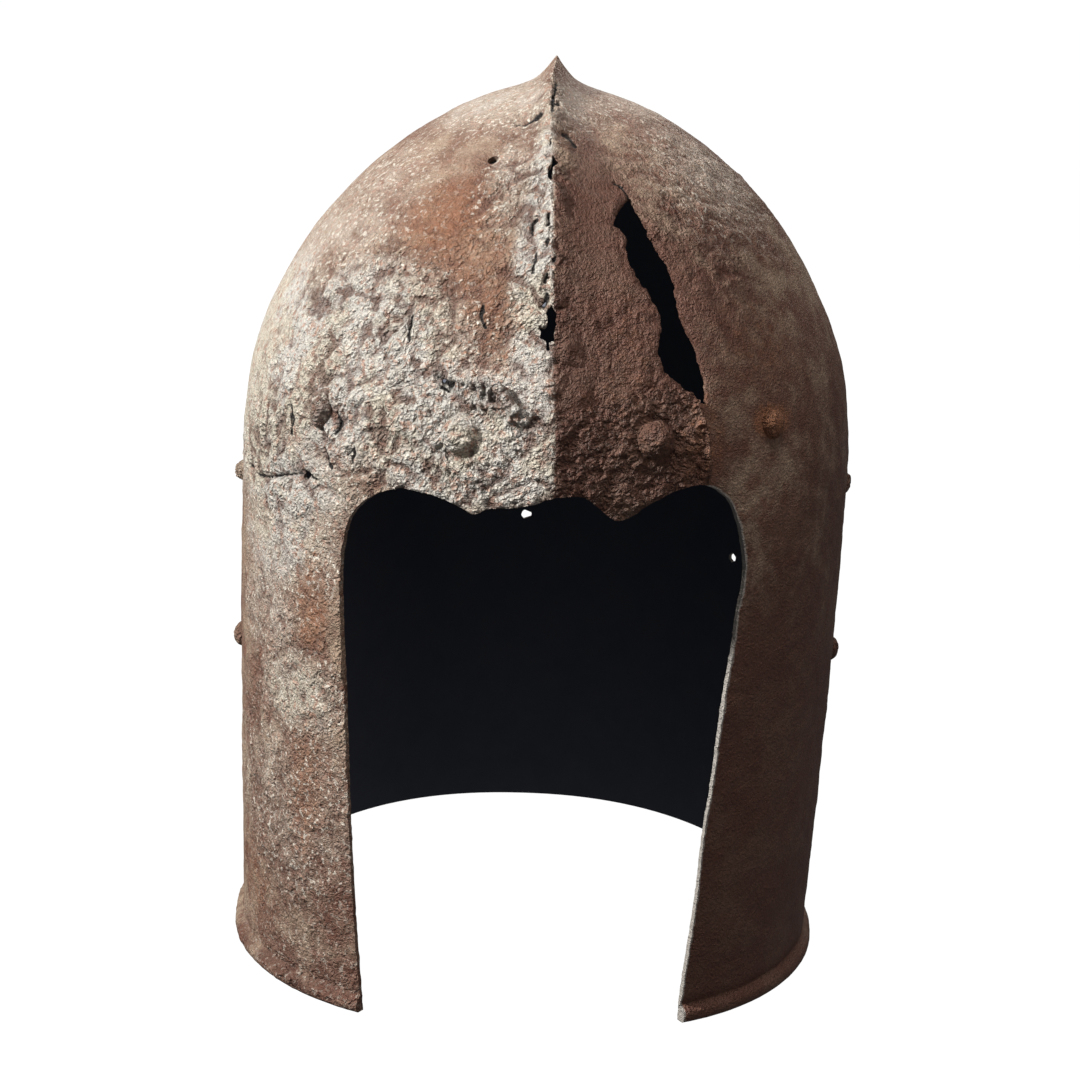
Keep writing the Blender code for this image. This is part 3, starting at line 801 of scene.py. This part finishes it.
def store(piece, name, values):
    """Keeps one number for each point, for the materials to read."""
    layer = piece.data.attributes.new(name, "FLOAT", "POINT")
    layer.data.foreach_set("value", np.asarray(values, dtype=np.float32))


def shade_right_of_ridge(run, point):
    """Painted shade on the ridge's right flank, which the key light misses: 1 just right of the
    ridge, and 0 left of it and on the crown.
    """
    _, _, _, lean, _, sway = keel_at(run)
    across = point[:, 0] - (sway + lean) * SWAY
    near = np.clip(across / (1.4 * MM), 0, 1) * np.exp(-((across / (34 * MM)) ** 2))
    near = near * np.clip((0.94 - point[:, 2] / TALL) / 0.08, 0, 1)
    return np.where(point[:, 1] < EARS, near, 0.0)


def dress(piece, point, bearing, ridge_shade=0.0, copies=1, **more):
    """Stores what the materials read at each point, for each copy of the points.

    The shade right of the ridge, from 0 to 1, is painted in: where it is 1, hardly any pale crust
    and little orange bloom is left, and the colour is dark.
    """
    fields = {
        "pale": patches(PALE_PATCHES, point, bearing) * (1 - 0.9 * ridge_shade),
        "orange": patches(ORANGE_PATCHES, point, bearing) * (1 - 0.55 * ridge_shade),
        "dark": np.maximum(patches(DARK_PATCHES, point, bearing), 0.9 * ridge_shade),
        "edge": np.zeros(len(point)),
        "crack_shade": np.zeros(len(point)),
        **more,
    }
    for name, values in fields.items():
        store(piece, name, np.tile(values, copies))


def corrosion(point, rough):
    """Scabs and crumb where the surface is rough, in metres, about zero."""
    shifts = (0.1, 0.4, 0.7)
    warp = np.column_stack([grain(point + shift, 7 * MM, 2) for shift in shifts])
    scabs = billows(point + warp * 2.0 * MM, SCAB_SIZE, 4) - 0.42
    flakes = np.tanh(4.0 * grain(point + warp * 1.5 * MM, FLAKE_SIZE, 3, 0.9))
    return (scabs * SCAB_HEIGHT + flakes * FLAKE_HEIGHT) * rough


def plate_shade(point, bearing):
    """A painted shadow: the dark line round the brow plate's raised edge, which a noise breaks up.
    """
    away = outside(point[:, 0] - FACE_SHIFT, point[:, 2], PLATE)
    most = np.where(bearing < 0, 0.75, 0.55) * (np.abs(bearing) < 60)
    broken = np.clip(0.9 + 1.8 * grain(point, 6 * MM, 2), 0, 1)
    return most * broken * np.exp(-((away / (0.9 * MM)) ** 2))


def skull_relief(run, point, bearing, left):
    """How far corrosion lifts or eats the outer face, and what shows of it."""
    rough = patches(SCABBED, point, bearing)
    rough = np.clip(rough * (1 + 0.5 * grain(point, 18 * MM, 3)), 0, 1)
    dents = grain(point, 48 * MM, 2) * 0.45 * MM
    lumps = grain(point, 9 * MM, 3) * (0.12 + 0.30 * rough) * MM
    wasting = -0.4 * MM * np.exp(-np.maximum(left, 0) / (0.8 * MM))
    fine = corrosion(point, 0.06 + rough)
    cut, crack_shade = drawn(CRACKS, point, bearing)
    near = np.clip(keel(run, rounded(run, bearing), bearing)[1] * 6 - 5, 0, 1)
    worn = near * np.clip(grain(point, 4 * MM, 3) * 2.2, 0, 1) * 1.3 * MM
    # Cracks, and the line round the brow plate, are painted black as shade in the crevice and under
    # the plate's edge
    crack_shade = np.maximum(crack_shade, plate_shade(point, bearing))
    lift = dents + lumps + fine + wasting - cut - worn
    return lift, {"rough": rough, "tops": fine / TOP_HEIGHT, "crack_shade": crack_shade}


def rim(level):
    """How far the turned edge stands out at each height."""
    table = np.array(RIM_SECTION)
    return flowing(table[:, 0] * RIM_HEIGHT, table[:, 1:], level)[:, 0] * RIM_PROUD


def columns_of(coarser):
    """The bearings of the skull's columns, closest together where the face is roughest."""
    spans = [np.arange(start, end, step * coarser) for start, end, step in COLUMNS]
    return np.unique(np.concatenate(spans + [[-RIDGE_STEP, 0.0, RIDGE_STEP]]))


def make_skull():
    coarser = 1.0
    row = SKULL_ROW * coarser
    rim_runs = np.arange(RIM_ROWS) * RIM_ROW
    runs = np.concatenate((rim_runs, np.arange(RIM_ROWS * RIM_ROW, CROWN_RUN - row / 2, row)))
    runs = np.append(runs, CROWN_RUN - 0.02 * MM)
    run, bearing, cells, border = sheet_of(runs, columns_of(coarser), True, skull_iron)

    flat, away = on_skull(run, bearing)
    left = skull_iron(run, bearing)
    lift, fields = skull_relief(run, flat, bearing, left)
    foot = run <= 0
    # The relief fades towards the rim and the crown
    fading = np.clip(run / (3 * MM), 0.3, 1) * np.clip((CROWN_RUN - run) / (4 * MM), 0, 1)
    outer = flat + away * (lift * fading + rim(flat[:, 2]))[:, None]
    inner = flat - away * WALL
    outer[foot, 2] = inner[foot, 2] = 0.0
    # A painted highlight along torn edges on the right half below the brow, which face the key light
    right = (flat[:, 0] > 0) & (flat[:, 2] < OPENING_TOP)
    fields["edge"] = np.where(right, np.exp(-np.maximum(left, 0) / (0.4 * MM)), 0.0)

    skull = add_shell("skull_iron", outer, inner, cells, border)
    dress(skull, flat, bearing, shade_right_of_ridge(run, flat), 2, **fields)
    thin(skull, SKULL_TRIANGLES)
    return skull


def plate_relief(point, bearing, left):
    """How far the brow plate's outer face stands out of the skull, and what shows of it."""
    x = point[:, 0]
    fused = np.clip((x + 0.90 * PLATE_HALF) / (9 * MM), 0, 1)
    body = PLATE_GAP + PLATE_THICKNESS * (0.45 + 0.75 * fused)
    calmer = np.where(x > 0, 0.5, 0.66)
    lumps = grain(point, 9 * MM, 3) * 0.35 * MM
    fine = corrosion(point, calmer) + (billows(point, 2.6 * MM, 2) - 0.35) * 0.45 * MM
    raised = drawn(FLAPS, point, bearing)[0]
    cut, crack_shade = drawn(PLATE_CRACKS, point, bearing)
    right_end = 0.9 * MM * np.exp(-(((x - 44 * MM) / (3 * MM)) ** 2))
    skirts = np.zeros(len(point))
    for _, turn, level, radius, *_ in RIVETS[:2]:
        middle = np.array(spot(turn, level)[0])
        away = np.linalg.norm(point - middle, axis=1) - radius
        skirts -= 0.7 * MM * np.exp(-(((away - 0.8 * MM) / (1.2 * MM)) ** 2))
    wasting = -0.3 * MM * np.exp(-np.maximum(left, 0) / (0.8 * MM))
    added = lumps + fine + raised + right_end + skirts + wasting - cut
    rough = np.ones(len(point))
    fields = {"rough": rough, "tops": fine / TOP_HEIGHT, "crack_shade": crack_shade}
    return np.maximum(body + added, PLATE_GAP), fields


def make_plate():
    """The brow plate: a lumpy sheet with a torn upper edge, fused to the skull on its left."""
    cell = PLATE_CELL
    low = run_at(OPENING_TOP - 1.4 * CUSP_DROP)
    high = run_at(OPENING_TOP + 1.1 * PLATE_RISE)
    runs = np.arange(low, high, cell)
    reach = bearing_of(1.15 * PLATE_HALF, OPENING_TOP)
    brow_span = 2.0 * MM  # what one degree covers over the brow
    half = np.arange(0, reach, cell / brow_span)[1:]
    bearings = np.concatenate((-half[::-1], [0.0], half))
    run, bearing, cells, border = sheet_of(runs, bearings, False, plate_iron)

    flat, away = on_skull(run, bearing)
    lift, fields = plate_relief(flat, bearing, plate_iron(run, bearing))
    outer = flat + away * lift[:, None]
    inner = flat - away * SUNK
    plate = add_shell("brow_plate_iron", outer, inner, cells, border)
    dress(plate, flat, bearing, shade_right_of_ridge(run, flat), 2, **fields)
    return plate


def rivet_profile(seat, radius, dome):
    """Radius and height from the clenched tail, up the shank, to the crown of the head."""
    inside = -WALL - SEAT
    tail = [(TAIL * 0.8, inside - TAIL_HEIGHT), (TAIL, inside - TAIL_HEIGHT / 2), (TAIL, inside)]
    shank = [(SHANK, inside), (SHANK, seat)]
    swell = np.radians(np.linspace(0, 86, 22))
    head = [(radius * math.cos(a), seat + dome * math.sin(a)) for a in swell]
    return tail + shank + head


def round_faces(rows, sides, low, high):
    """The faces of a body turned from so many rings, closed by a point at each end."""
    number = np.arange(rows * sides).reshape(rows, sides)
    number = np.hstack((number, number[:, :1]))
    faces = quads(number).tolist()
    faces += [(int(b), int(a), low) for a, b in zip(number[0], number[0][1:])]
    faces += [(int(a), int(b), high) for a, b in zip(number[-1], number[-1][1:])]
    return faces


def make_rivet(name, bearing, level, radius, rise, stretch, waste):
    """A clenched tail, a shank and a worn domed head."""
    grip = PLATE_GAP + PLATE_THICKNESS if name.startswith("brow") else 0.0
    seat = grip - SUNK
    dome = rise + 0.5 * MM
    profile = rivet_profile(seat, radius, dome)
    sides = RIVET_SIDES
    turns = np.linspace(0, 2 * math.pi, sides, endpoint=False)
    wide, tall = np.cos(turns), stretch * np.sin(turns)
    rings = [np.column_stack((r * wide, r * tall, np.full(sides, h))) for r, h in profile]
    ends = [(0, 0, profile[0][1]), (0, 0, seat + dome)]
    points = np.vstack(rings + [ends])
    head = np.clip((points[:, 2] - seat) / rise, 0, 1)
    out = points / np.maximum(np.linalg.norm(points, axis=1, keepdims=True), 1e-9)
    place = points + bearing  # so that each rivet reads another part of the noise
    eaten = grain(place, 4.5 * MM, 3) * 0.50 * MM + (billows(place, 3.0 * MM, 3) - 0.4) * 0.8 * MM
    points = points + out * (eaten * waste * head)[:, None]

    point, away = spot(bearing, level)
    turned = np.array(away.to_track_quat("Z", "Y").to_matrix())
    mesh = bpy.data.meshes.new(name)
    faces = round_faces(len(rings), sides, len(points) - 2, len(points) - 1)
    mesh.from_pydata((points @ turned.T + np.array(point)).tolist(), [], faces)
    made = add(f"{name}_iron", mesh)
    here = np.tile(np.array(point), (len(points), 1))
    fields = {"rough": np.full(len(points), 0.8), "tops": np.clip(eaten, 0, 1) / TOP_HEIGHT}
    dress(made, here, np.full(len(points), float(bearing)), **fields)
    return made


def blank(name):
    made = bpy.data.materials.new(name)
    made.use_nodes = True
    return made, made.node_tree, made.node_tree.nodes["Principled BSDF"]


def node(tree, kind, inputs, **settings):
    """Adds a shader node. An input that is a socket is linked, and any other is set."""
    made = tree.nodes.new("ShaderNode" + kind)
    for key, value in settings.items():
        setattr(made, key, value)
    for key, value in inputs.items():
        if isinstance(value, bpy.types.NodeSocket):
            tree.links.new(value, made.inputs[key])
        else:
            made.inputs[key].default_value = value
    return made


def mottle(tree, size, detail=4.0, roughness=0.6, warp=0.0):
    """Noise between 0 and 1 with features of this size."""
    inputs = {
        "Vector": node(tree, "TexCoord", {}).outputs["Object"],
        "Scale": 1 / size,
        "Detail": detail,
        "Roughness": roughness,
        "Distortion": warp,
    }
    return node(tree, "TexNoise", inputs).outputs["Fac"]


def sift(tree, value, low, high):
    """0 below one value and 1 above the other, with a soft step between."""
    inputs = {"Value": value, "From Min": low, "From Max": high}
    return node(tree, "MapRange", inputs, interpolation_type="SMOOTHSTEP").outputs["Result"]


def mix(tree, amount, first, second):
    made = node(tree, "Mix", {0: amount}, data_type="RGBA")
    for slot, value in ((6, first), (7, second)):
        if isinstance(value, bpy.types.NodeSocket):
            tree.links.new(value, made.inputs[slot])
        else:
            made.inputs[slot].default_value = (*value, 1)
    return made.outputs[2]


def math_of(tree, kind, *values):
    return node(tree, "Math", dict(enumerate(values)), operation=kind).outputs[0]


def stored(tree, name):
    return node(tree, "Attribute", {}, attribute_name=name).outputs["Fac"]


def crumb(tree, size):
    """Fine rounded lumps with sharp creases between them: near 0 in a crease."""
    total = 0.0
    for share, weight in ((1.0, 0.55), (0.5, 0.30), (0.26, 0.15)):
        swing = math_of(tree, "MULTIPLY_ADD", mottle(tree, size * share, 1.5, 0.6, 0.1), 2.0, -1.0)
        lump = math_of(tree, "ABSOLUTE", swing)
        total = math_of(tree, "MULTIPLY_ADD", lump, weight * 2, total)
    return total


def patch(tree, name, ragged):
    """A stored soft patch, with its border broken up by a noise."""
    broken = math_of(tree, "SUBTRACT", ragged, 0.5)
    return sift(tree, math_of(tree, "ADD", stored(tree, name), broken), 0.22, 0.72)


def iron_colour(tree, pale, redness):
    """Brown and tan iron under orange bloom and pale crust."""
    broad = mottle(tree, 22 * MM, 6, 0.62)
    middling = mottle(tree, 7 * MM, 6, 0.68)
    small = mottle(tree, 2.6 * MM, 5, 0.70)
    base = mix(tree, sift(tree, broad, 0.42, 0.60), BROWN, TAN)
    base = mix(tree, math_of(tree, "MULTIPLY", sift(tree, middling, 0.50, 0.66), 0.5), base, RUST)
    dark = patch(tree, "dark", middling)
    base = mix(tree, math_of(tree, "MULTIPLY", dark, 0.85), base, UMBER)
    bloom = math_of(tree, "MULTIPLY", patch(tree, "orange", small), 0.85 * redness)
    crust = mix(tree, sift(tree, broad, 0.44, 0.56), CREAM, CHALK)
    crust = mix(tree, sift(tree, small, 0.50, 0.62), crust, PINK)
    cover = math_of(tree, "MULTIPLY", patch(tree, "pale", small), pale * 0.92)
    base = mix(tree, cover, base, crust)
    base = mix(tree, bloom, base, ORANGE)
    # Pale flecks in the crust, which also stand in for glints: in part painted highlight
    flecks_and_glints = math_of(tree, "MULTIPLY", sift(tree, mottle(tree, 1.6 * MM, 3, 0.6), 0.56, 0.62), 0.9)
    flecks_and_glints = math_of(tree, "MULTIPLY", flecks_and_glints, sift(tree, stored(tree, "pale"), 0.05, 0.5))
    return mix(tree, flecks_and_glints, base, PALE)


def iron_material(name, pale=1.0, redness=1.0):
    """Rusted iron: patchy colour, pale crust on the tops, creases painted dark as shade, and fine
    crumb.
    """
    made, tree, shader = blank(name)
    rough = stored(tree, "rough")
    lumps = crumb(tree, CRUMB_SIZE)
    gravel = crumb(tree, GRAVEL_SIZE)
    base = iron_colour(tree, pale, redness)

    # Painted shade: darker where the mesh's scabs sink low
    low = math_of(tree, "MULTIPLY", sift(tree, stored(tree, "tops"), 0.1, -1.1), 0.75)
    base = mix(tree, low, base, UMBER)
    # Painted shade in the creases of the crumb, and in the fine pores of the gravel below
    deep = math_of(tree, "MULTIPLY", sift(tree, lumps, 0.26, 0.08), rough)
    base = mix(tree, math_of(tree, "MULTIPLY", deep, 0.45), base, DARK)
    pore_shade = math_of(tree, "MULTIPLY", sift(tree, gravel, 0.24, 0.10), 0.38)
    base = mix(tree, pore_shade, base, DARK)
    # Painted shade: cracks and the line round the brow plate turn black
    base = mix(tree, sift(tree, stored(tree, "crack_shade"), 0.45, 0.85), base, BLACK)
    # The painted highlight on torn edges that face the key light
    base = mix(tree, sift(tree, stored(tree, "edge"), 0.30, 0.80), base, LIT_EDGE)
    tree.links.new(base, shader.inputs["Base Color"])
    shader.inputs["Metallic"].default_value = 0.2
    shader.inputs["Roughness"].default_value = 0.56
    shader.inputs["Specular IOR Level"].default_value = 0.3

    relief = math_of(tree, "MULTIPLY_ADD", rough, 0.90, 0.10)
    height = math_of(tree, "MULTIPLY", lumps, relief)
    height = math_of(tree, "MULTIPLY_ADD", gravel, 0.26, height)
    normal = node(tree, "Bump", {"Height": height, "Distance": BUMP_HEIGHT, "Strength": 1.0})
    tree.links.new(normal.outputs["Normal"], shader.inputs["Normal"])
    return made


def hollow_material():
    """The dark inner face, near-black and bluish: in part painted shade of the helmet's inside."""
    made, tree, shader = blank("hollow")
    base = mix(tree, mottle(tree, 12 * MM), INSIDE_SHADE, SLATE)
    tree.links.new(base, shader.inputs["Base Color"])
    shader.inputs["Roughness"].default_value = 0.75
    return made


def add_light(name, azimuth, elevation, distance, size, power, colour):
    """A round lamp that looks at the helmet."""
    lamp = bpy.data.lights.new(name, "AREA")
    lamp.shape = "DISK"
    lamp.size = size
    lamp.energy = power
    lamp.color = colour
    made = add(name, lamp)
    turn, rise = math.radians(azimuth), math.radians(elevation)
    flat = math.cos(rise) * distance
    made.location = (math.sin(turn) * flat, -math.cos(turn) * flat, math.sin(rise) * distance)
    target = Vector((0, 0, 170 * MM))
    made.rotation_euler = (target - made.location).to_track_quat("-Z", "Y").to_euler()


def add_camera():
    """The photograph's view: a long lens, a little above and to the left, and slightly rolled."""
    elevation = math.radians(11.9)
    yaw = math.radians(1.2)
    roll = math.radians(1.9)
    distance = 826 * MM
    height = 311 * MM
    aside = -0.5 * MM
    lens = bpy.data.cameras.new("camera")
    lens.sensor_width = 36.0  # millimetres, as the focal length is
    lens.lens = 80.9
    lens.clip_start = 0.05
    made = add("camera", lens)
    flat = math.cos(elevation)
    ahead = Vector((math.sin(yaw) * flat, math.cos(yaw) * flat, -math.sin(elevation)))
    x = aside - distance * math.sin(yaw)
    place = Vector((x, EARS - distance * math.cos(yaw), height))
    turn = ahead.to_track_quat("-Z", "Y").to_matrix() @ Matrix.Rotation(roll, 3, "Z")
    made.matrix_world = Matrix.Translation(place) @ turn.to_4x4()
    bpy.context.scene.camera = made


def add_floor():
    """A floor that shines as white as the surround, as in a cut-out photograph."""
    mesh = bpy.data.meshes.new("floor")
    half = 6.0
    corners = [(-half, -half, 0), (half, -half, 0), (half, half, 0), (-half, half, 0)]
    mesh.from_pydata(corners, [], [(0, 1, 2, 3)])
    floor = add("floor", mesh)
    made, _, shader = blank("floor")
    shader.inputs["Base Color"].default_value = (0.02, 0.02, 0.02, 1)
    shader.inputs["Roughness"].default_value = 1.0
    shader.inputs["Specular IOR Level"].default_value = 0.0
    shader.inputs["Emission Color"].default_value = (1, 1, 1, 1)
    shader.inputs["Emission Strength"].default_value = WHITE
    mesh.materials.append(made)
    floor.visible_diffuse = False
    floor.visible_glossy = False


def add_world():
    """A white surround for the camera, which lights the object only faintly."""
    world = bpy.data.worlds.new("world")
    world.use_nodes = True
    tree = world.node_tree
    backdrop = tree.nodes["Background"]
    seen = node(tree, "LightPath", {}).outputs["Is Camera Ray"]
    strength = node(tree, "MapRange", {"Value": seen, "To Min": AMBIENT, "To Max": WHITE})
    tree.links.new(strength.outputs["Result"], backdrop.inputs["Strength"])
    backdrop.inputs["Color"].default_value = (1, 1, 1, 1)
    bpy.context.scene.world = world


def finish_piece(piece, node_name, looks):
    """Gives a piece its materials and puts it in the place of its CAD node."""
    for look in looks:
        piece.data.materials.append(look)
    piece.data.shade_smooth()
    piece.data.set_sharp_from_angle(angle=SHARP_EDGE)
    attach(piece, "root")
    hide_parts(node_name)


def main():
    add_camera()
    bpy.context.scene.view_settings.view_transform = "Standard"
    add_floor()
    add_world()
    for light in LIGHTS:
        add_light(*light)
    iron = iron_material("rusted_iron")
    scaled_iron = iron_material("scaled_iron")
    rivet_iron = iron_material("rivet_iron", pale=0.3, redness=1.2)
    hollow = hollow_material()
    finish_piece(make_skull(), "skull", (iron, hollow))
    finish_piece(make_plate(), "brow_plate", (scaled_iron, hollow))
    for row in RIVETS:
        look = scaled_iron if row[0].startswith("brow") else rivet_iron
        finish_piece(make_rivet(*row), row[0], (look,))


main()
